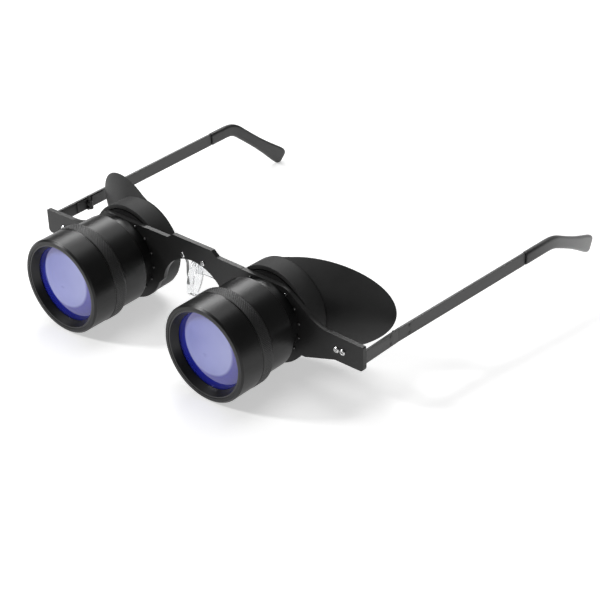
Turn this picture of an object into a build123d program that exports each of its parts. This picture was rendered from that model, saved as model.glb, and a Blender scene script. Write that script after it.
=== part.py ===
from build123d import *
import math
import os

# Spectacle-mounted binocular magnifier: two focusing barrels on a flat front
# plate, with folding temples, winged rubber eyecups and a clear nose saddle.
# Millimetres.  The objectives face -Y, the temples run back along +Y, +Z is up.
# "right" pieces stand on the +X side and "left" pieces on the -X side.  The
# origin is the middle of the plate's front face, level with the barrel axes.

os.makedirs("parts", exist_ok=True)

# ---------------------------------------------------------------- dimensions
axis_x = 33.0  # barrel axes stand this far either side of the middle

# front plate
plate_t = 1.6
plate_half_w = 72.9
end_top, end_bottom = 3.3, -5.7
disc_r = 17.0
neck_hole_r = 12.5
arch_r, arch_z = 15.1, -6.9
step_top, shoulder_top = 15.3, 13.4

# barrels: radii and stations along Y
ring_r = 17.0
ring_front, ring_rear = -30.2, -15.8
band_front = -20.4
ring_bore_r = 16.0
ring_mouth_r = 15.3
shoulder_front, shoulder_rear = -28.1, -26.8
cell_r = 14.65
cell_front, cell_rear = -27.2, -17.0
lens_r = 13.95
barrel_r, barrel_bore_r = 15.9, 14.75
barrel_front, barrel_rear = -23.5, -5.3
tube_bore_r = 9.6
collar_r, tube_r, tube_end = 13.0, 12.4, 8.0
eyelens_r = 9.55

# index pips round each barrel
pip_count, pip_ring_r, pip_r, pip_h = 16, 13.64, 0.42, 0.35
pip_phase = {"left": 162.0, "right": 8.0}

# eyecups
cup_front, cup_rear = 2.0, 9.7
cup_r_front, cup_r = 16.75, 16.5
cup_wall = 1.2
wing_far = 26.0  # station of the section the wing flares towards
wing_shift, wing_half_w, wing_half_h, wing_z = 7.1, 31.0, 25.1, 3.0
wing_rim_y, wing_rim_slope = 10.75, 0.369  # the rim's sloping cut, level with the barrel axis

# side arms and temples
strip_t = 0.9
strip_bottom, strip_top = -3.65, 1.05
strip_out_x = 72.4
foot_in_x = 59.6
seam_y = 18.4
hinge_x = strip_out_x - strip_t - 1.0
knuckle_r, screw_r = 0.92, 0.45
leaf_bottom, leaf_top, leaf_t = -3.3, 0.6, 0.4
knuckles = ((-3.4, -2.6), (-2.53, -1.77), (-1.7, -0.9))  # bottom, middle, top
rivet_zs, rivet_gap = (0.05, -2.75), 3.8  # heights, and distance from the seam
tongue_start, tongue_end = 64.4, 72.4  # along the temple, from the hinge
tongue_h = 2.6
sleeve_w, sleeve_h = 2.3, 4.9
screw_xs, screw_z = (62.1, 64.6), -1.5
rivet_x, rivet_z = 4.6, 9.05

# each temple: outward splay, start of the ear bend, droop, inward bend
TEMPLES = {
    "left": {"splay": 0.0, "bend": 73.4, "droop": 41.0, "inward": 6.5},
    "right": {"splay": 3.0, "bend": 76.6, "droop": 27.0, "inward": 7.5},
}
bend_arc, tip_straight = 7.5, 27.6

SIDES = {"left": -1, "right": 1}


def finish(part, name):
    part.label = name
    export_step(part, f"parts/{name}.step")


def turned(points, cx):
    """Solid of revolution about a barrel axis, from (radius, y) points."""
    with BuildPart() as body:
        with BuildSketch(Plane.XY):
            with BuildLine():
                Polyline([(cx + r, y) for r, y in points], close=True)
            make_face()
        revolve(axis=Axis((cx, 0, 0), (0, 1, 0)))
    return body.part


# ---------------------------------------------------------------- front plate
shoulder_corner = (41.3, 13.2)
plate_half_outline = [
    (0, step_top), (8.9, step_top), (11.2, shoulder_top),
    shoulder_corner, (54.6, end_top + 0.4),
    (plate_half_w, end_top), (plate_half_w, end_bottom),
    (61.2, end_bottom), (48.6, -9.8), (40.0, -9.8), (24.0, -12.6), (14.6, -4.0),
]
soft_corners = [((54.6, 3.7), 15.0), ((plate_half_w, end_bottom), 1.4),
                ((plate_half_w, end_top), 0.4), ((11.2, shoulder_top), 1.2), ((61.2, end_bottom), 4.0)]

with BuildPart() as front_plate:
    with BuildSketch(Plane.XZ) as outline:
        with BuildLine():
            Polyline(plate_half_outline + [(-x, z) for x, z in reversed(plate_half_outline[1:])],
                     close=True)
        make_face()
        for (x, z), radius in soft_corners:
            for s in (-1, 1):
                corner = outline.vertices().sort_by_distance((s * x, z, 0))[0]
                fillet(corner, radius)
        with Locations((-axis_x, 0), (axis_x, 0)):
            Circle(disc_r)
        # the discs are cut level with the shoulders of the plate and along their slopes
        with Locations((-axis_x, 18.2), (axis_x, 18.2)):
            Rectangle(22, 10, mode=Mode.SUBTRACT)
        (x0, z0), (x1, z1) = shoulder_corner, plate_half_outline[4]
        z50 = z0 + (50 - x0) * (z1 - z0) / (x1 - x0)
        for s in (-1, 1):
            with BuildLine():
                Polyline((s * x0, z0), (s * x0, 24), (s * 50, 24), (s * 50, z50), close=True)
            make_face(mode=Mode.SUBTRACT)
            corner = outline.vertices().sort_by_distance((s * x0, z0, 0))[0]
            fillet(corner, 6.0)
        with Locations((0, arch_z)):
            Circle(arch_r, mode=Mode.SUBTRACT)
        with Locations((-axis_x, 0), (axis_x, 0)):
            Circle(neck_hole_r, mode=Mode.SUBTRACT)
        for s in (-1, 1):
            with Locations(*[(s * x, screw_z) for x in screw_xs], (s * rivet_x, rivet_z)):
                Circle(0.65, mode=Mode.SUBTRACT)
    extrude(amount=-plate_t)
finish(front_plate.part, "front_plate")


# --------------------------------------------------------------- the barrels
def focus_ring(side, name):
    """Turning ring: smooth nose, grooved band at the rear, shoulder inside."""
    cx = SIDES[side] * axis_x
    body = turned([
        (ring_mouth_r, ring_front), (ring_r - 0.6, ring_front), (ring_r, ring_front + 0.6),
        (ring_r, band_front - 0.5), (ring_r - 0.25, band_front - 0.25), (ring_r, band_front),
        (ring_r, ring_rear - 0.3), (ring_r - 0.3, ring_rear), (ring_bore_r, ring_rear),
        (ring_bore_r, shoulder_rear), (cell_r + 0.1, shoulder_rear),
        (cell_r + 0.1, shoulder_front), (ring_mouth_r, shoulder_front)], cx)
    finish(body, name)


def objective_cell(side, name):
    """Keyed tube that carries the objective and slides without turning."""
    cx = SIDES[side] * axis_x
    body = turned([
        (lens_r + 0.03, cell_front), (cell_r, cell_front), (cell_r, shoulder_rear + 0.1),
        (barrel_r - 0.1, shoulder_rear + 0.1), (barrel_r - 0.1, shoulder_rear + 0.9),
        (cell_r, shoulder_rear + 0.9), (cell_r, cell_rear), (13.3, cell_rear),
        (13.3, -23.8), (12.8, -23.8), (12.8, -24.45), (lens_r + 0.03, -24.45)], cx)
    finish(body, name)


def objective_bezel(side, name):
    """Retaining ring in the mouth: flat lip, then a cone down to the glass."""
    cx = SIDES[side] * axis_x
    body = turned([
        (14.75, -30.05), (ring_mouth_r - 0.1, -30.05), (ring_mouth_r - 0.1, shoulder_front - 0.12),
        (cell_r - 0.05, shoulder_front - 0.12), (cell_r - 0.05, cell_front - 0.02),
        (13.45, cell_front - 0.02), (13.45, -27.45)], cx)
    finish(body, name)


def lens(side, name, radius, front, rear, bulge_front, bulge_rear):
    """Round lens: each face is an arc whose middle stands out by its bulge."""
    cx = SIDES[side] * axis_x
    with BuildPart() as glass:
        with BuildSketch(Plane.XY):
            with BuildLine():
                Line((cx, front - bulge_front), (cx, rear + bulge_rear))
                sag_arc(cx, radius, rear, bulge_rear)
                Line((cx + radius, rear), (cx + radius, front))
                sag_arc(cx, radius, front, -bulge_front)
            make_face()
        revolve(axis=Axis((cx, 0, 0), (0, 1, 0)))
    finish(glass.part, name)


def sag_arc(cx, radius, y, bulge):
    """Arc from the axis to the lens edge, for a face with this bulge along Y."""
    bend = (radius ** 2 + bulge ** 2) / (2 * abs(bulge))
    drop = bend - math.sqrt(bend ** 2 - (radius / 2) ** 2)
    middle_y = y + bulge - math.copysign(drop, bulge)
    ThreePointArc((cx, y + bulge), (cx + radius / 2, middle_y), (cx + radius, y))


def fixed_barrel(side, name):
    """Barrel body behind the ring, with its stepped rear wall."""
    cx = SIDES[side] * axis_x
    body = turned([
        (barrel_bore_r, barrel_front), (barrel_r, barrel_front), (barrel_r, barrel_rear - 0.4),
        (barrel_r - 0.4, barrel_rear), (tube_bore_r, barrel_rear), (tube_bore_r, -8.0),
        (barrel_bore_r, -8.0)], cx)
    finish(body, name)


def eyepiece_tube(side, name):
    """Collar against the plate, then the tube through it to the eyepiece."""
    cx = SIDES[side] * axis_x
    body = turned([
        (tube_bore_r, barrel_rear), (collar_r, barrel_rear), (collar_r, 0), (tube_r, 0),
        (tube_r, tube_end - 0.3), (tube_r - 0.3, tube_end), (tube_bore_r, tube_end),
        (tube_bore_r, 2.6), (8.6, 2.6), (8.6, 1.6), (tube_bore_r, 1.6)], cx)
    finish(body, name)


def lock_ring(side, name):
    """Slotted ring screwed on behind the plate; it clamps the barrel."""
    cx = SIDES[side] * axis_x
    with BuildPart() as ring:
        with BuildSketch(Plane.XZ.offset(-plate_t)):
            with Locations((cx, 0)):
                Circle(15.1)
                Circle(tube_r + 0.02, mode=Mode.SUBTRACT)
        extrude(amount=-2.8)
        with BuildSketch(Plane.XZ.offset(-plate_t - 2.8)):
            with Locations((cx, 13.8), (cx, -13.8)):
                Rectangle(2.4, 3.2)
        extrude(amount=1.4, mode=Mode.SUBTRACT)
    finish(ring.part, name)


def eyepiece_retainer(side, name):
    cx = SIDES[side] * axis_x
    body = turned([(8.3, 6.6), (eyelens_r, 6.6), (eyelens_r, 7.7), (8.9, 7.7)], cx)
    finish(body, name)


def index_pips(side, name):
    """Ring of small domed pips on the plate, round the barrel's collar."""
    s = SIDES[side]
    with BuildPart() as pips:
        with BuildSketch(Plane.XZ):
            spots = []
            for k in range(pip_count):
                a = math.radians(pip_phase[side] + k * 360 / pip_count)
                spots.append((s * (axis_x + pip_ring_r * math.cos(a)), pip_ring_r * math.sin(a)))
            with Locations(*[p for p in spots if p[1] < shoulder_top - 0.8]):
                Circle(pip_r)
        extrude(amount=pip_h)
        chamfer(pips.faces().filter_by(GeomType.PLANE).group_by(Axis.Y)[0].edges(), 0.12)
    finish(pips.part, name)


# ------------------------------------------------------------------- eyecups
def eyecup_sleeve(side, name):
    """Rubber sleeve with an inner web that holds it behind the lock ring."""
    cx = SIDES[side] * axis_x
    body = turned([
        (15.3, cup_front), (cup_r_front, cup_front), (cup_r, cup_rear), (15.3, cup_rear),
        (15.3, 6.2), (tube_r + 0.15, 6.2), (tube_r + 0.15, 4.8), (15.3, 4.8)], cx)
    finish(body, name)


def eyecup_wing(side, name):
    """Soft wing: flares outwards from the sleeve and is cut to a sloping rim."""
    s = SIDES[side]
    with BuildPart() as wing:
        for inset, mode in ((0, Mode.ADD), (cup_wall, Mode.SUBTRACT)):
            with BuildSketch(Plane.XZ.offset(-cup_rear)):
                with Locations((s * axis_x, 0)):
                    Ellipse(cup_r - inset, cup_r - inset - 0.001)
            with BuildSketch(Plane.XZ.offset(-wing_far)):
                with Locations((s * (axis_x + wing_shift), wing_z)):
                    Ellipse(wing_half_w - inset, wing_half_h - inset)
            loft(ruled=True, mode=mode)
        with BuildSketch(Plane.XY):
            rim = [(s * (axis_x + u), wing_rim_y + wing_rim_slope * u) for u in (-20, 45)]
            with BuildLine():
                Polyline(*rim, (rim[1][0], 50), (rim[0][0], 50), close=True)
            make_face()
        extrude(amount=32, both=True, mode=Mode.SUBTRACT)
    finish(wing.part, name)


# ------------------------------------------------------- side arms and hinges
def side_bracket(side, name):
    """Bent strip: foot behind the plate's end, then an arm back to the hinge."""
    s = SIDES[side]
    inner = strip_out_x - strip_t
    with BuildPart() as bracket:
        with BuildSketch(Plane.XY.offset(strip_bottom)) as plan:
            with BuildLine():
                Polyline([(s * x, y) for x, y in [
                    (foot_in_x, plate_t), (strip_out_x, plate_t), (strip_out_x, seam_y - 0.1),
                    (inner, seam_y - 0.1), (inner, plate_t + strip_t),
                    (foot_in_x, plate_t + strip_t)]], close=True)
            make_face()
            fillet(plan.vertices().sort_by_distance((s * strip_out_x, plate_t, 0))[0], 0.8)
        extrude(amount=strip_top - strip_bottom)
        with BuildSketch(Plane.XZ.offset(-plate_t)):
            with Locations(*[(s * x, screw_z) for x in screw_xs]):
                Circle(0.65)
        extrude(amount=-strip_t, mode=Mode.SUBTRACT)
        with BuildSketch(Plane.YZ.offset(s * inner)):
            with Locations(*[(seam_y - rivet_gap, z) for z in rivet_zs]):
                Circle(0.4)
        extrude(amount=s * strip_t, mode=Mode.SUBTRACT)
    finish(bracket.part, name)


def bracket_screws(side, name):
    """Two small cross-recessed screws through the plate and the bracket."""
    s = SIDES[side]
    with BuildPart() as screws:
        with BuildSketch(Plane.XZ):
            with Locations(*[(s * x, screw_z) for x in screw_xs]):
                Circle(1.05)
        extrude(amount=0.55)
        chamfer(screws.faces().group_by(Axis.Y)[0].edges(), 0.2)
        with BuildSketch(Plane.XZ):
            with Locations(*[(s * x, screw_z) for x in screw_xs]):
                Circle(0.6)
        extrude(amount=-(plate_t + strip_t + 0.5))
        with BuildSketch(Plane.XZ.offset(0.55)):
            with Locations(*[(s * x, screw_z) for x in screw_xs]):
                Rectangle(1.1, 0.28)
                Rectangle(0.28, 1.1)
        extrude(amount=-0.35, mode=Mode.SUBTRACT)
    finish(screws.part, name)


def hinge_plane(side, z=0.0):
    """Plane of a temple's own plan view: x outwards, y back along the temple."""
    s = SIDES[side]
    a = math.radians(TEMPLES[side]["splay"])
    outwards = (s * math.cos(a), -math.sin(a), 0)
    upwards = (0, 0, 1) if s > 0 else (0, 0, -1)
    return Plane(origin=(s * hinge_x, seam_y, z), x_dir=outwards, z_dir=upwards)


def hinge_leaf_front(side, name):
    """Leaf on the bracket with the top and bottom knuckles."""
    s = SIDES[side]
    inner = strip_out_x - strip_t
    with BuildPart() as leaf:
        with BuildSketch(Plane.XY.offset(leaf_bottom)):
            with Locations((s * (inner - leaf_t / 2), 14.9)):
                Rectangle(leaf_t, 4.6)
        extrude(amount=leaf_top - leaf_bottom)
        for low, high in (knuckles[0], knuckles[2]):
            with BuildSketch(Plane.XY.offset(low)):
                with Locations((s * hinge_x, seam_y)):
                    Circle(knuckle_r)
                with Locations((s * (inner - 0.65), 17.6)):
                    Rectangle(1.3, 1.4)
                with Locations((s * hinge_x, seam_y)):
                    Circle(screw_r + 0.05, mode=Mode.SUBTRACT)
            extrude(amount=high - low)
        with BuildSketch(Plane.YZ.offset(s * (inner - leaf_t))):
            with Locations(*[(seam_y - rivet_gap, z) for z in rivet_zs]):
                Circle(0.4)
        extrude(amount=s * leaf_t, mode=Mode.SUBTRACT)
    finish(leaf.part, name)


def rivets(name, plane, spots, length):
    """Pair of small rivets: a flat outer head and a shank through both leaves."""
    with BuildPart() as pair:
        with BuildSketch(plane):
            with Locations(*spots):
                Circle(0.55)
        extrude(amount=0.12)
        with BuildSketch(plane):
            with Locations(*spots):
                Circle(0.36)
        extrude(amount=-length)
    finish(pair.part, name)


def hinge_screw(side, name):
    s = SIDES[side]
    with BuildPart() as screw:
        with BuildSketch(Plane.XY.offset(knuckles[0][0] - 0.1)):
            with Locations((s * hinge_x, seam_y)):
                Circle(screw_r)
        extrude(amount=knuckles[2][1] - knuckles[0][0] + 0.15)
        with BuildSketch(Plane.XY.offset(knuckles[2][1])):
            with Locations((s * hinge_x, seam_y)):
                Circle(0.8)
        extrude(amount=0.35)
        with BuildSketch(Plane.XY.offset(knuckles[2][1] + 0.35)):
            with Locations((s * hinge_x, seam_y)):
                Rectangle(1.2, 0.25)
        extrude(amount=-0.2, mode=Mode.SUBTRACT)
    finish(screw.part, name)


# ------------------------------------------------------------------- temples
def temple_level(side, z):
    """The temple's plan plane at height z, and the way up from it."""
    return hinge_plane(side, z), (1 if SIDES[side] > 0 else -1)


def temple_strip(side, name):
    """Flat strip from the hinge to the ear tip, narrowed to a tongue inside."""
    with BuildPart() as strip:
        for low, high, y0, y1 in ((strip_bottom, strip_top, 0.1, tongue_start - 0.2),
                                  (-1.3 - tongue_h / 2, -1.3 + tongue_h / 2,
                                   tongue_start - 0.3, tongue_end)):
            level, up = temple_level(side, low)
            with BuildSketch(level):
                with BuildLine():
                    Polyline([
                        (1.0, y0), (1.0 + strip_t, y0), (1.0 + strip_t, y1), (1.0, y1)],
                        close=True)
                make_face()
            extrude(amount=up * (high - low))
        face = Plane(origin=hinge_plane(side).from_local_coords((1.0, 0, 0)),
                     x_dir=temple_back(side), z_dir=hinge_plane(side).x_dir)
        with BuildSketch(face):
            with Locations(*temple_rivet_spots(side)):
                Circle(0.4)
        extrude(amount=strip_t, mode=Mode.SUBTRACT)
    finish(strip.part, name)


def temple_back(side):
    """Direction back along the temple."""
    a = math.radians(TEMPLES[side]["splay"])
    return (SIDES[side] * math.sin(a), math.cos(a), 0)


def temple_rivet_spots(side):
    up = SIDES[side]
    return [(5.4, up * z) for z in rivet_zs]


def hinge_leaf_temple(side, name):
    """Leaf on the temple with the middle knuckle."""
    with BuildPart() as leaf:
        level, up = temple_level(side, leaf_bottom)
        with BuildSketch(level):
            with BuildLine():
                Polyline([
                    (1.0 - leaf_t, 1.5), (1.0, 1.5), (1.0, 7.2), (1.0 - leaf_t, 7.2)], close=True)
            make_face()
        extrude(amount=up * (leaf_top - leaf_bottom))
        level, up = temple_level(side, knuckles[1][0])
        with BuildSketch(level):
            Circle(knuckle_r)
            with BuildLine():
                Polyline([
                    (-0.3, 0.1), (1.0, 0.1), (1.0, 1.6), (-0.3, 1.6)], close=True)
            make_face()
            Circle(screw_r + 0.05, mode=Mode.SUBTRACT)
        extrude(amount=up * (knuckles[1][1] - knuckles[1][0]))
        face = Plane(origin=hinge_plane(side).from_local_coords((1.0 - leaf_t, 0, 0)),
                     x_dir=temple_back(side), z_dir=hinge_plane(side).x_dir)
        with BuildSketch(face):
            with Locations(*temple_rivet_spots(side)):
                Circle(0.4)
        extrude(amount=leaf_t, mode=Mode.SUBTRACT)
    finish(leaf.part, name)


def ear_path(side):
    """Stations of the sleeve: (point, direction, height, width)."""
    t = TEMPLES[side]
    s = SIDES[side]
    a, droop, inward = (math.radians(t[k]) for k in ("splay", "droop", "inward"))
    back = Vector(s * math.sin(a), math.cos(a), 0)
    inwards = Vector(-s * math.cos(a), math.sin(a), 0)
    start = Vector(s * hinge_x, seam_y, -1.3) - inwards * (1.0 + strip_t / 2)
    final = (back * math.cos(droop) * math.cos(inward) + inwards * math.sin(inward)
             + Vector(0, 0, -1) * math.sin(droop) * math.cos(inward))
    stations = [(start + back * tongue_start, back, sleeve_h, sleeve_w),
                (start + back * (t["bend"] - 1), back, sleeve_h, sleeve_w)]
    point = start + back * t["bend"]
    steps = 6
    for i in range(1, steps + 1):
        w = i / steps
        heading = (back * (1 - w) + final * w).normalized()
        point = point + heading * (bend_arc / steps)
        stations.append((point, heading, sleeve_h - 0.3 * w, sleeve_w))
    for along, high, wide in ((6, 4.45, 2.3), (12, 4.6, 2.3), (17, 5.2, 2.3), (21, 5.95, 2.2),
                              (24.2, 6.5, 2.1), (25.8, 6.45, 2.0), (26.8, 5.7, 1.8),
                              (27.4, 4.5, 1.4), (tip_straight, 3.1, 0.9)):
        stations.append((point + final * along, final, high, wide))
    return stations


def ear_tip(side, name):
    """Plastic sleeve, bent over the ear and swelling to a rounded end."""
    stations = ear_path(side)
    with BuildPart() as tip:
        for point, heading, high, wide in stations:
            across = heading.cross(Vector(0, 0, 1)).normalized()
            with BuildSketch(Plane(origin=point, x_dir=across, z_dir=heading)):
                RectangleRounded(wide, high, wide * 0.42)
        loft(ruled=True)
        socket = Plane(origin=stations[0][0], x_dir=stations[0][1].cross(Vector(0, 0, 1)),
                       z_dir=stations[0][1])
        with BuildSketch(socket):
            Rectangle(strip_t + 0.04, tongue_h + 0.04)
        extrude(amount=tongue_end - tongue_start + 0.3, mode=Mode.SUBTRACT)
    finish(tip.part, name)


# ------------------------------------------------------------------ nose piece
with BuildPart() as bridge_rivets:
    with BuildSketch(Plane.XZ):
        with Locations((-rivet_x, rivet_z), (rivet_x, rivet_z)):
            Circle(0.95)
    extrude(amount=0.5)
    fillet(bridge_rivets.faces().group_by(Axis.Y)[0].edges(), 0.35)
    with BuildSketch(Plane.XZ):
        with Locations((-rivet_x, rivet_z), (rivet_x, rivet_z)):
            Circle(0.6)
    extrude(amount=-(plate_t + 0.7 + 0.4))
finish(bridge_rivets.part, "bridge_rivets")

with BuildPart() as nose_bracket:
    with BuildSketch(Plane.XZ.offset(-plate_t)) as tab:
        with Locations((0, 9.9)):
            RectangleRounded(15.4, 3.4, 1.0)
        with Locations((-rivet_x, rivet_z), (rivet_x, rivet_z)):
            Circle(0.65, mode=Mode.SUBTRACT)
    extrude(amount=-0.7)
finish(nose_bracket.part, "nose_bracket")


def nose_wire(side, name):
    """Bent wire from the bracket down to its hook in the silicone pad."""
    s = SIDES[side]
    route = [(s * x, y, z) for x, y, z in [
        (6.6, 2.76, 11.2), (6.7, 2.8, 7.4), (8.0, 5.2, 2.4), (9.3, 6.2, -2.6), (9.2, 6.6, -6.6)]]
    with BuildPart() as wire:
        with BuildLine() as path:
            FilletPolyline(*route, radius=2.0)
        with BuildSketch(Plane(origin=path.line @ 0, z_dir=path.line % 0)):
            Circle(0.45)
        sweep(path=path.line)
    finish(wire.part, name)


pad_long, pad_wide, pad_thick = 16.6, 9.8, 2.4
with BuildPart() as nose_saddle:
    for s in (-1, 1):
        down = Vector(s * 0.24, 0.10, -0.96).normalized()
        rearward = Vector(s * 0.30, 0.95, 0.17)
        normal = down.cross(rearward).normalized()
        pad_plane = Plane(origin=(s * 9.0, 9.4, -5.2), x_dir=down, z_dir=normal)
        with BuildSketch(pad_plane):
            Ellipse(pad_long / 2, pad_wide / 2)
        extrude(amount=pad_thick / 2, both=True)
    with BuildLine() as over_nose:
        ThreePointArc((-8.3, 8.4, -1.6), (0, 7.4, 0.8), (8.3, 8.4, -1.6))
    with BuildSketch(Plane(origin=over_nose.line @ 0, x_dir=(0, 1, 0), z_dir=over_nose.line % 0)):
        RectangleRounded(1.6, 4.0, 0.5)
    sweep(path=over_nose.line)
finish(nose_saddle.part, "nose_saddle")

# ---------------------------------------------------------- both sides' pieces
for side, s in SIDES.items():
    focus_ring(side, f"focus_ring_{side}")
    objective_cell(side, f"objective_cell_{side}")
    objective_bezel(side, f"objective_bezel_{side}")
    lens(side, f"objective_lens_{side}", lens_r, -26.95, -24.7, 2.3, 0.7)
    fixed_barrel(side, f"fixed_barrel_{side}")
    eyepiece_tube(side, f"eyepiece_tube_{side}")
    lens(side, f"eyepiece_lens_{side}", eyelens_r, 2.65, 6.55, -1.0, -1.0)
    eyepiece_retainer(side, f"eyepiece_retainer_{side}")
    lock_ring(side, f"lock_ring_{side}")
    index_pips(side, f"index_pips_{side}")
    eyecup_sleeve(side, f"eyecup_sleeve_{side}")
    eyecup_wing(side, f"eyecup_wing_{side}")
    side_bracket(side, f"side_bracket_{side}")
    bracket_screws(side, f"bracket_screws_{side}")
    hinge_leaf_front(side, f"hinge_leaf_front_{side}")
    hinge_screw(side, f"hinge_screw_{side}")
    rivets(f"bracket_rivets_{side}", Plane.YZ.offset(s * strip_out_x)
           if s > 0 else Plane(origin=(-strip_out_x, 0, 0), x_dir=(0, 1, 0), z_dir=(-1, 0, 0)),
           [(seam_y - rivet_gap, s * z) for z in rivet_zs], strip_t + leaf_t)
    outer = hinge_plane(side).from_local_coords((1.0 + strip_t, 0, 0))
    rivets(f"temple_rivets_{side}",
           Plane(origin=outer, x_dir=temple_back(side), z_dir=hinge_plane(side).x_dir),
           temple_rivet_spots(side), strip_t + leaf_t)
    temple_strip(side, f"temple_strip_{side}")
    hinge_leaf_temple(side, f"hinge_leaf_temple_{side}")
    ear_tip(side, f"ear_tip_{side}")
    nose_wire(side, f"nose_wire_{side}")
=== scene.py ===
import math

import bmesh
import bpy
from mathutils import Matrix, Vector


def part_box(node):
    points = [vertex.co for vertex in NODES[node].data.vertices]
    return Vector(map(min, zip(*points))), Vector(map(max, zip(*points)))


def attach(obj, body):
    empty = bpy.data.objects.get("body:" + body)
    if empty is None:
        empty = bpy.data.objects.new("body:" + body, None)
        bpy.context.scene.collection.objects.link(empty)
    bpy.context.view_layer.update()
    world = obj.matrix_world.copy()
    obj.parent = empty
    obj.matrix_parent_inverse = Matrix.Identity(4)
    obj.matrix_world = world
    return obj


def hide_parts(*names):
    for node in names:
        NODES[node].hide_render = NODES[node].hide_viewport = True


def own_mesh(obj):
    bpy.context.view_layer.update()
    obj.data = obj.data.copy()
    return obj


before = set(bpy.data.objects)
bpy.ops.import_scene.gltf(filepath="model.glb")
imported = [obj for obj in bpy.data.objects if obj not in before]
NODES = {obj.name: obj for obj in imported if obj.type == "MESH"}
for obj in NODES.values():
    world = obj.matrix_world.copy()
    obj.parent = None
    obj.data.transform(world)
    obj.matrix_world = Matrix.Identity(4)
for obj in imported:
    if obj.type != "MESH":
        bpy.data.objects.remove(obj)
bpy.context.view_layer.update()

SIDES = {"left": -1, "right": 1}
MM = 0.001
scene = bpy.context.scene

# eyecup: bore, and the inner web that grips the eyepiece tube
CUP_BORE, WEB_BORE = 15.3 * MM, 12.55 * MM
WEB_FRONT, WEB_REAR = 4.8 * MM, 6.2 * MM

# lens: centre of the painted reflection, a paler disc, from the lens axis, and where its edge fades
PAINTED_REFLECTION_X, PAINTED_REFLECTION_Z = 0.5 * MM, 2.3 * MM
PAINTED_REFLECTION_EDGE_OUT, PAINTED_REFLECTION_EDGE_IN = 10.6 * MM, 9.4 * MM

# camera: azimuth and elevation of the line back from the object, its roll, place and lens
CAMERA_ANGLES = (42.365, 31.367, -2.035)
CAMERA_PLACE = (0.374209, -0.358477, 0.306874)
CAMERA_LENS, CAMERA_SENSOR = 108.24, 36


# ------------------------------------------------------------------ materials
def new_material(name):
    mat = bpy.data.materials.new(name)
    mat.use_nodes = True
    tree = mat.node_tree
    return mat, tree, tree.nodes["Principled BSDF"]


def noise(tree, scale, detail=3.0, rough=0.55, stretch=(1, 1, 1)):
    """Noise in the object's own metres; stretch draws it out along an axis."""
    coord = tree.nodes.new("ShaderNodeTexCoord")
    mapping = tree.nodes.new("ShaderNodeMapping")
    mapping.inputs["Scale"].default_value = stretch
    tex = tree.nodes.new("ShaderNodeTexNoise")
    tex.inputs["Scale"].default_value = scale
    tex.inputs["Detail"].default_value = detail
    tex.inputs["Roughness"].default_value = rough
    tree.links.new(coord.outputs["Object"], mapping.inputs["Vector"])
    tree.links.new(mapping.outputs["Vector"], tex.inputs["Vector"])
    return tex.outputs["Fac"]


def ramp(tree, fac, low, high, start=0.3, end=0.7):
    """Colour that runs from low to high as fac goes from start to end."""
    node = tree.nodes.new("ShaderNodeValToRGB")
    node.color_ramp.elements[0].position = start
    node.color_ramp.elements[1].position = end
    node.color_ramp.elements[0].color = (*low, 1)
    node.color_ramp.elements[1].color = (*high, 1)
    tree.links.new(fac, node.inputs["Fac"])
    return node.outputs["Color"]


def spread(tree, fac, low, high):
    node = tree.nodes.new("ShaderNodeMapRange")
    node.inputs["From Min"].default_value = 0.3
    node.inputs["From Max"].default_value = 0.7
    node.inputs["To Min"].default_value = low
    node.inputs["To Max"].default_value = high
    tree.links.new(fac, node.inputs["Value"])
    return node.outputs["Result"]


def bump(tree, bsdf, fac, strength, depth):
    node = tree.nodes.new("ShaderNodeBump")
    node.inputs["Strength"].default_value = strength
    node.inputs["Distance"].default_value = depth
    tree.links.new(fac, node.inputs["Height"])
    tree.links.new(node.outputs["Normal"], bsdf.inputs["Normal"])


def finish_of(name, low, high, rough, grain, grain_depth, metallic=0.0, patch=90.0,
              stretch=(1, 1, 1), specular=0.5, coat=0.0):
    """Finish with patchy tone, uneven gloss and a fine grain in relief."""
    mat, tree, bsdf = new_material(name)
    bsdf.inputs["Metallic"].default_value = metallic
    bsdf.inputs["Specular IOR Level"].default_value = specular
    bsdf.inputs["Coat Weight"].default_value = coat
    bsdf.inputs["Coat Roughness"].default_value = 0.15
    tone = noise(tree, patch, 5.0, 0.6, stretch)
    tree.links.new(ramp(tree, tone, low, high), bsdf.inputs["Base Color"])
    tree.links.new(spread(tree, tone, rough - 0.04, rough + 0.04), bsdf.inputs["Roughness"])
    bump(tree, bsdf, noise(tree, grain, 2.0, 0.5, stretch), 0.5, grain_depth)
    return mat


def grey(value, warm=0.0):
    return (value * (1 + warm), value, value * (1 - warm))


MATS = {
    "barrel": finish_of("barrel_anodised", grey(0.006), grey(0.011), 0.34, 3200, 0.00002,
                        stretch=(1, 0.35, 1), specular=0.35),
    "knurl": finish_of("band_anodised", grey(0.014), grey(0.026), 0.36, 5200, 0.00001),
    "dark": finish_of("inner_black", grey(0.004), grey(0.008), 0.6, 4200, 0.00002),
    "plate": finish_of("plate_coat", grey(0.012), grey(0.018), 0.42, 6500, 0.00003,
                       specular=0.4),
    "rubber": finish_of("cup_rubber", grey(0.022), grey(0.034), 0.62, 5200, 0.00004,
                        specular=0.35),
    "strip": finish_of("strip_coat", grey(0.03), grey(0.05), 0.4, 3000, 0.00002,
                       stretch=(1, 0.1, 1), patch=160),
    "hinge": finish_of("hinge_steel", grey(0.025), grey(0.045), 0.42, 4000, 0.00002,
                       metallic=0.2),
    "chrome": finish_of("screw_plating", grey(0.62), grey(0.8), 0.18, 2600, 0.00001,
                        metallic=1.0),
    "pip": finish_of("pip_metal", grey(0.16), grey(0.3), 0.3, 2600, 0.00001, metallic=1.0),
    "wire": finish_of("drawn_wire", grey(0.12), grey(0.25), 0.3, 5000, 0.00001,
                      metallic=1.0, stretch=(1, 1, 0.1)),
}


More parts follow.
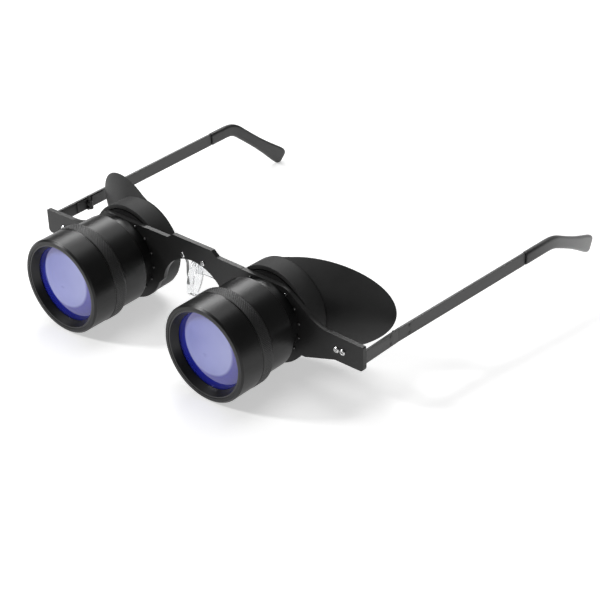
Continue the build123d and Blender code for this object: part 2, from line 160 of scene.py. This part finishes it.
def bezel_material():
    """Grey satin lip in front; the cone behind it is coloured much darker."""
    mat, tree, bsdf = new_material("bezel_two_tone")
    coord = tree.nodes.new("ShaderNodeTexCoord")
    split = tree.nodes.new("ShaderNodeSeparateXYZ")
    tree.links.new(coord.outputs["Object"], split.inputs["Vector"])
    lip_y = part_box("objective_bezel_right")[0].y
    step = tree.nodes.new("ShaderNodeMapRange")
    step.inputs["From Min"].default_value = lip_y + 0.00002
    step.inputs["From Max"].default_value = lip_y + 0.00012
    tree.links.new(split.outputs["Y"], step.inputs["Value"])
    tone = noise(tree, 300, 4.0)
    mix = tree.nodes.new("ShaderNodeMix")
    mix.data_type = "RGBA"
    tree.links.new(step.outputs["Result"], mix.inputs["Factor"])
    tree.links.new(ramp(tree, tone, grey(0.022), grey(0.04)), mix.inputs["A"])
    tree.links.new(ramp(tree, tone, grey(0.002), grey(0.005)), mix.inputs["B"])
    tree.links.new(mix.outputs["Result"], bsdf.inputs["Base Color"])
    tree.links.new(spread(tree, tone, 0.34, 0.44), bsdf.inputs["Roughness"])
    bump(tree, bsdf, noise(tree, 4000, 2.0), 0.4, 0.00001)
    return mat


def lens_material():
    """Deep blue glass with a painted reflection: a paler disc in the base colour, brighter towards one
    side.
    """
    mat, tree, bsdf = new_material("coated_lens_painted_reflection")
    centre = sum(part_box("objective_lens_right"), Vector()) / 2
    coord = tree.nodes.new("ShaderNodeTexCoord")
    split = tree.nodes.new("ShaderNodeSeparateXYZ")
    tree.links.new(coord.outputs["Object"], split.inputs["Vector"])

    def math_node(operation, *values):
        node = tree.nodes.new("ShaderNodeMath")
        node.operation = operation
        for socket, value in zip(node.inputs, values):
            if isinstance(value, (int, float)):
                socket.default_value = value
            else:
                tree.links.new(value, socket)
        return node.outputs["Value"]

    def mixed(factor, low, high):
        mix = tree.nodes.new("ShaderNodeMix")
        mix.data_type = "RGBA"
        tree.links.new(factor, mix.inputs["Factor"])
        for socket, value in (("A", low), ("B", high)):
            tree.links.new(value, mix.inputs[socket])
        return mix.outputs["Result"]

    # from the nearer lens axis: positive x is to the right on both lenses
    side = math_node("SIGN", split.outputs["X"])
    dx = math_node("SUBTRACT", split.outputs["X"], math_node("MULTIPLY", side, centre.x))
    dx = math_node("SUBTRACT", dx, PAINTED_REFLECTION_X)
    dz = math_node("SUBTRACT", split.outputs["Z"], PAINTED_REFLECTION_Z)
    radius = math_node("SQRT", math_node("ADD", math_node("MULTIPLY", dx, dx),
                                         math_node("MULTIPLY", dz, dz)))
    # painted reflection: a paler disc mixed into the deep blue base colour
    disc = tree.nodes.new("ShaderNodeMapRange")
    disc.interpolation_type = "SMOOTHSTEP"
    disc.inputs["From Min"].default_value = PAINTED_REFLECTION_EDGE_OUT
    disc.inputs["From Max"].default_value = PAINTED_REFLECTION_EDGE_IN
    tree.links.new(radius, disc.inputs["Value"])
    # painted highlight: the paler disc is painted brighter towards the right
    painted_brightening = tree.nodes.new("ShaderNodeMapRange")
    painted_brightening.inputs["From Min"].default_value = -7 * MM
    painted_brightening.inputs["From Max"].default_value = 11 * MM
    tree.links.new(dx, painted_brightening.inputs["Value"])
    tone = noise(tree, 60, 2.0)
    deep = ramp(tree, tone, (0.010, 0.016, 0.26), (0.016, 0.022, 0.34))
    # colours of the painted reflection, from darker to paler across the paler disc
    inner = mixed(painted_brightening.outputs["Result"], ramp(tree, tone, (0.09, 0.12, 0.42), (0.12, 0.15, 0.50)),
                  ramp(tree, tone, (0.34, 0.38, 0.70), (0.42, 0.46, 0.78)))
    tree.links.new(mixed(disc.outputs["Result"], deep, inner), bsdf.inputs["Base Color"])
    tree.links.new(spread(tree, noise(tree, 240, 3.0), 0.015, 0.035), bsdf.inputs["Roughness"])
    bsdf.inputs["IOR"].default_value = 2.3
    bsdf.inputs["Specular Tint"].default_value = (0.80, 0.76, 1.0, 1)
    return mat


def clear_material(name, colour, rough, ior):
    mat, tree, bsdf = new_material(name)
    tone = noise(tree, 160, 3.0)
    low = tuple(0.93 * c for c in colour)
    tree.links.new(ramp(tree, tone, low, colour), bsdf.inputs["Base Color"])
    tree.links.new(spread(tree, tone, rough, rough + 0.06), bsdf.inputs["Roughness"])
    bsdf.inputs["Transmission Weight"].default_value = 0.95
    bsdf.inputs["IOR"].default_value = ior
    bump(tree, bsdf, noise(tree, 700, 2.0), 0.15, 0.00002)
    return mat


def tip_material(name, painted_sheen_tone):
    """Satin plastic, dark where it starts and painted paler towards the end, a painted sheen."""
    mat, tree, bsdf = new_material(name)
    coord = tree.nodes.new("ShaderNodeTexCoord")
    split = tree.nodes.new("ShaderNodeSeparateXYZ")
    tree.links.new(coord.outputs["Object"], split.inputs["Vector"])
    along = tree.nodes.new("ShaderNodeMapRange")
    along.inputs["From Min"].default_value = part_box("ear_tip_left")[0].y
    along.inputs["From Max"].default_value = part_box("ear_tip_right")[1].y
    tree.links.new(split.outputs["Y"], along.inputs["Value"])
    tone = noise(tree, 240, 5.0)
    mix = tree.nodes.new("ShaderNodeMix")
    mix.data_type = "RGBA"
    tree.links.new(along.outputs["Result"], mix.inputs["Factor"])
    tree.links.new(ramp(tree, tone, grey(0.018), grey(0.028)), mix.inputs["A"])
    tree.links.new(ramp(tree, tone, grey(painted_sheen_tone * 0.85), grey(painted_sheen_tone)), mix.inputs["B"])
    tree.links.new(mix.outputs["Result"], bsdf.inputs["Base Color"])
    tree.links.new(spread(tree, tone, 0.38, 0.5), bsdf.inputs["Roughness"])
    bump(tree, bsdf, noise(tree, 3500, 2.0), 0.4, 0.00002)
    return mat


MATS["bezel"] = bezel_material()
MATS["lens"] = lens_material()
MATS["eye_glass"] = clear_material("eyepiece_glass", (0.72, 0.78, 0.95), 0.01, 1.52)
MATS["silicone"] = clear_material("clear_silicone", (0.97, 0.98, 0.99), 0.12, 1.30)
# lit and shaded copies of one plastic: the right tip's much paler end is painted sheen where light falls
# on it
MATS["tip_left"] = tip_material("ear_tip_dark", 0.05)
MATS["tip_right"] = tip_material("ear_tip_worn", 0.32)

LOOKS = {
    "focus_ring": "barrel", "fixed_barrel": "barrel", "objective_cell": "dark",
    "objective_bezel": "bezel", "objective_lens": "lens", "eyepiece_tube": "barrel",
    "eyepiece_lens": "eye_glass", "eyepiece_retainer": "dark", "lock_ring": "barrel",
    "index_pips": "pip", "eyecup_sleeve": "rubber", "eyecup_wing": "rubber",
    "side_bracket": "strip", "bracket_screws": "chrome", "hinge_leaf_front": "hinge",
    "hinge_leaf_temple": "hinge", "hinge_screw": "hinge", "bracket_rivets": "hinge",
    "temple_rivets": "hinge", "temple_strip": "strip",
    "ear_tip_left": "tip_left", "ear_tip_right": "tip_right",
    "nose_wire": "wire", "front_plate": "plate", "bridge_rivets": "chrome",
    "nose_bracket": "strip", "nose_saddle": "silicone",
}


def look_of(node):
    kind = node.removesuffix("_left").removesuffix("_right")
    return MATS[LOOKS.get(node) or LOOKS[kind]]


for name, obj in NODES.items():
    obj.data.materials.clear()
    obj.data.materials.append(look_of(name))


# --------------------------------------------------------- edges of flat parts
def soften_edges(node, width):
    """Small rounded edges on a flat-sided part, so that they catch the light."""
    obj = NODES[node]
    weld = obj.modifiers.new("weld", "WELD")
    weld.merge_threshold = 1e-6
    bevel = obj.modifiers.new("edge", "BEVEL")
    bevel.width = width
    bevel.segments = 2
    bevel.limit_method = "ANGLE"
    bevel.angle_limit = math.radians(40)


soften_edges("front_plate", 0.00012)
for side in SIDES:
    soften_edges(f"side_bracket_{side}", 0.0001)
    soften_edges(f"temple_strip_{side}", 0.0001)


# ------------------------------------------------------------ moulded pieces
def add_piece(name, mesh, node, body):
    piece = bpy.data.objects.new(name, mesh)
    scene.collection.objects.link(piece)
    mesh.materials.clear()
    mesh.materials.append(look_of(node))
    for polygon in mesh.polygons:
        polygon.use_smooth = True
    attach(piece, body)
    return piece


def moulded(name, node, body, voxel, passes):
    """Copy of a solid with every edge rounded over, as a moulding has them."""
    work = bpy.data.objects.new("work", NODES[node].data.copy())
    scene.collection.objects.link(work)
    remesh = work.modifiers.new("voxels", "REMESH")
    remesh.mode = "VOXEL"
    remesh.voxel_size = voxel
    smooth = work.modifiers.new("soften", "SMOOTH")
    smooth.factor = 0.5
    smooth.iterations = passes
    bpy.context.view_layer.update()
    graph = bpy.context.evaluated_depsgraph_get()
    mesh = bpy.data.meshes.new_from_object(work.evaluated_get(graph))
    bpy.data.objects.remove(work)
    piece = add_piece(name, mesh, node, body)
    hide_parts(node)


def turned(name, node, body, profile, steps=192):
    """Surface of revolution about a barrel axis from a closed (radius, y) loop."""
    centre = sum(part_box(node), Vector()) / 2
    bm = bmesh.new()
    rings = []
    for k in range(steps):
        a = 2 * math.pi * k / steps
        rings.append([bm.verts.new((centre.x + r * math.cos(a), y, centre.z + r * math.sin(a)))
                      for r, y in profile])
    for k in range(steps):
        here, there = rings[k], rings[(k + 1) % steps]
        for i in range(len(profile)):
            j = (i + 1) % len(profile)
            bm.faces.new((here[i], here[j], there[j], there[i]))
    bmesh.ops.recalc_face_normals(bm, faces=bm.faces)
    mesh = bpy.data.meshes.new(name)
    bm.to_mesh(mesh)
    bm.free()
    piece = add_piece(name, mesh, node, body)
    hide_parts(node)


def rounded(points, radius, steps=4):
    """Closed loop of points with each corner turned into a small arc."""
    out = []
    count = len(points)
    for i, corner in enumerate(points):
        here = Vector(corner)
        before = Vector(points[i - 1]) - here
        after = Vector(points[(i + 1) % count]) - here
        reach = min(radius, before.length * 0.45, after.length * 0.45)
        start, end = here + before.normalized() * reach, here + after.normalized() * reach
        for k in range(steps + 1):
            t = k / steps
            out.append(tuple((1 - t) ** 2 * start + 2 * t * (1 - t) * here + t * t * end))
    return out


def knurled_band(side):
    """Band of small diamond points round the rear of the focus ring."""
    low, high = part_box(f"focus_ring_{side}")
    centre = (low + high) / 2
    outer = (high.x - low.x) / 2
    root = outer - 0.3 * MM
    ridge_h, end_gap, band_w = 0.2 * MM, 0.4 * MM, 4.15 * MM
    rear = high.y - end_gap
    front = rear - band_w
    around, rows, per = 120, 5.5, 6  # ridges round and along the band, and steps to a ridge
    steps_a, steps_y = around * per, 36
    bm = bmesh.new()
    grid = []
    for i in range(steps_y + 1):
        t = i / steps_y
        line = []
        for k in range(steps_a):
            u = k / per
            v = t * rows
            ridge = min(abs((u + v) % 1 - 0.5), abs((u - v) % 1 - 0.5)) * 2
            fade = min(1, t * 14, (1 - t) * 14)
            r = outer + 0.01 * MM + ridge_h * ridge * fade
            a = 2 * math.pi * k / steps_a
            line.append(bm.verts.new((centre.x + r * math.cos(a), front + (rear - front) * t,
                                      centre.z + r * math.sin(a))))
        grid.append(line)
    turns = [2 * math.pi * k / steps_a for k in range(steps_a)]
    inner = [[bm.verts.new((centre.x + root * math.cos(a), y, centre.z + root * math.sin(a)))
              for a in turns] for y in (rear, front)]
    loop = grid + inner
    for i in range(len(loop)):
        row, after = loop[i], loop[(i + 1) % len(loop)]
        for k in range(steps_a):
            j = (k + 1) % steps_a
            bm.faces.new((row[k], row[j], after[j], after[k]))
    bmesh.ops.recalc_face_normals(bm, faces=bm.faces)
    mesh = bpy.data.meshes.new(f"knurled_band_{side}")
    bm.to_mesh(mesh)
    bm.free()
    add_piece(mesh.name, mesh, f"focus_ring_{side}", f"focus_{side}")
    mesh.materials[0] = MATS["knurl"]


def eyecup_wing(side, radius, y_start, wall=1.2 * MM):
    """Soft shell flaring outwards from the cup to a sloping rim with a round lip."""
    s = SIDES[side]
    barrel_x = abs(sum(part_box(f"fixed_barrel_{side}"), Vector()).x) / 2
    shift, half_w, half_h, far_z, y_far = (v * MM for v in (7.1, 31.0, 25.1, 3.0, 26.0))
    rim_y, rim_slope = 10.75 * MM, 0.369
    steps, rows, lip_steps = 160, 26, 6

    def shell(angle, t, inset):
        near_r = radius - inset
        x = barrel_x + near_r * math.cos(angle) * (1 - t)
        x += (shift + (half_w - inset) * math.cos(angle)) * t
        z = near_r * math.sin(angle) * (1 - t) + (far_z + (half_h - inset) * math.sin(angle)) * t
        return Vector((x, y_start + (y_far - y_start) * t, z))

    def rim_t(angle, inset):
        low_t, high_t = 0.0, 1.0
        for _ in range(24):
            mid = (low_t + high_t) / 2
            p = shell(angle, mid, inset)
            low_t, high_t = (mid, high_t) if p.y < rim_y + rim_slope * (p.x - barrel_x) else (low_t, mid)
        return max(low_t, 0.02)

    bm = bmesh.new()
    sections = []
    for k in range(steps):
        angle = 2 * math.pi * k / steps
        ends = []
        for inset in (0, wall):  # outer and inner surface, each stopping short of the rim
            full = rim_t(angle, inset)
            along = shell(angle, full, inset) - shell(angle, full * 0.9, inset)
            length = (shell(angle, full, inset) - shell(angle, 0, inset)).length
            stop = full * (1 - wall * 0.5 / max(length, 2 * MM))
            ends.append([shell(angle, stop * i / rows, inset) for i in range(rows + 1)])
            forward = along.normalized()
        middle = (ends[0][-1] + ends[1][-1]) / 2
        half = ends[0][-1] - middle
        lip = [middle + half * math.cos(math.pi * i / lip_steps)
               + forward * wall * 0.5 * math.sin(math.pi * i / lip_steps)
               for i in range(1, lip_steps)]
        points = ends[0] + lip + ends[1][::-1]
        sections.append([bm.verts.new((s * p.x, p.y, p.z)) for p in points])
    count = len(sections[0])
    for k in range(steps):
        here, there = sections[k], sections[(k + 1) % steps]
        for i in range(count):
            j = (i + 1) % count
            bm.faces.new((here[i], here[j], there[j], there[i]))
    bmesh.ops.recalc_face_normals(bm, faces=bm.faces)
    mesh = bpy.data.meshes.new(f"eyecup_side_wing_{side}")
    bm.to_mesh(mesh)
    bm.free()
    piece = add_piece(mesh.name, mesh, f"eyecup_wing_{side}", f"eyecup_{side}")
    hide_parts(f"eyecup_wing_{side}")
    return piece


for side in SIDES:
    knurled_band(side)
    low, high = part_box(f"eyecup_sleeve_{side}")
    r_out, y0, y1 = (high.x - low.x) / 2, low.y, high.y
    turned(f"eyecup_body_{side}", f"eyecup_sleeve_{side}", f"eyecup_{side}", rounded([
        (r_out - 1.45 * MM, y0), (r_out, y0), (r_out - 0.18 * MM, y1), (CUP_BORE, y1),
        (CUP_BORE, WEB_REAR), (WEB_BORE, WEB_REAR), (WEB_BORE, WEB_FRONT),
        (CUP_BORE, WEB_FRONT)], 0.16 * MM))
    wing = eyecup_wing(side, r_out - 0.5 * MM, y1)  # the wing's foot lies just inside the lip
    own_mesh(wing)
    moulded(f"ear_sleeve_{side}", f"ear_tip_{side}", f"temple_{side}", 0.26 * MM, 9)
moulded("nose_silicone", "nose_saddle", "frame", 0.25 * MM, 14)


# ---------------------------------------------------------- floor, light, view
barrel_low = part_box("focus_ring_left")[0]
tip_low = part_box("ear_tip_left")[0]
barrel_foot = Vector((0, barrel_low.y + 0.3 * MM, barrel_low.z))
tip_foot = Vector((0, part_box("ear_tip_left")[1].y, tip_low.z))
slope = (tip_foot.z - barrel_foot.z) / (tip_foot.y - barrel_foot.y)
ground_z = barrel_foot.z - 0.1 * MM


def floor():
    """Large pale sheet that both barrels and the lower ear tip stand on."""
    reach = 4.0
    mesh = bpy.data.meshes.new("floor")
    corners = [(x, y) for x, y in ((-reach, -reach), (reach, -reach), (reach, reach),
                                   (-reach, reach))]
    mesh.from_pydata([(x, y, ground_z + slope * (y - barrel_foot.y)) for x, y in corners],
                     [], [(0, 1, 2, 3)])
    obj = bpy.data.objects.new("floor", mesh)
    scene.collection.objects.link(obj)
    mat, tree, bsdf = new_material("floor_paper")
    tree.links.new(ramp(tree, noise(tree, 30, 3.0), grey(0.88), grey(0.9)),
                   bsdf.inputs["Base Color"])
    bsdf.inputs["Roughness"].default_value = 0.8
    bsdf.inputs["Specular IOR Level"].default_value = 0.1
    bsdf.inputs["Emission Color"].default_value = (1, 1, 1, 1)
    bsdf.inputs["Emission Strength"].default_value = 0.5
    mesh.materials.append(mat)


def area_light(name, place, target, size, watts):
    data = bpy.data.lights.new(name, "AREA")
    data.shape = "RECTANGLE"
    data.size, data.size_y = size
    data.energy = watts
    obj = bpy.data.objects.new(name, data)
    obj.location = place
    obj.rotation_euler = (Vector(target) - Vector(place)).to_track_quat("-Z", "Y").to_euler()
    scene.collection.objects.link(obj)


floor()
area_light("overhead", (-0.15, 0.30, 1.00), (0, 0.05, 0), (0.7, 0.7), 4.0)
area_light("key_back_left", (-0.62, 0.66, 0.60), (0, 0, 0), (0.45, 0.35), 3.6)
area_light("rim_front_left", (-0.52, -0.45, 0.56), (0, 0, 0), (0.13, 0.13), 3.2)

world = bpy.data.worlds.new("studio")
world.use_nodes = True
world.node_tree.nodes["Background"].inputs["Color"].default_value = (1, 1, 1, 1)
world.node_tree.nodes["Background"].inputs["Strength"].default_value = 0.10
scene.world = world
scene.view_settings.view_transform = "Standard"

azimuth, elevation, roll = (math.radians(angle) for angle in CAMERA_ANGLES)
back = Vector((math.sin(azimuth) * math.cos(elevation),
               -math.cos(azimuth) * math.cos(elevation), math.sin(elevation)))
level = Vector((math.cos(azimuth), math.sin(azimuth), 0))
upright = back.cross(level)
right = level * math.cos(roll) + upright * math.sin(roll)
up = upright * math.cos(roll) - level * math.sin(roll)
camera_data = bpy.data.cameras.new("camera")
camera_data.sensor_width = CAMERA_SENSOR
camera_data.lens = CAMERA_LENS
camera_data.clip_start, camera_data.clip_end = 0.01, 20
camera = bpy.data.objects.new("camera", camera_data)
camera.matrix_world = Matrix((
    (right.x, up.x, back.x, CAMERA_PLACE[0]),
    (right.y, up.y, back.y, CAMERA_PLACE[1]),
    (right.z, up.z, back.z, CAMERA_PLACE[2]),
    (0, 0, 0, 1)))
scene.collection.objects.link(camera)
scene.camera = camera
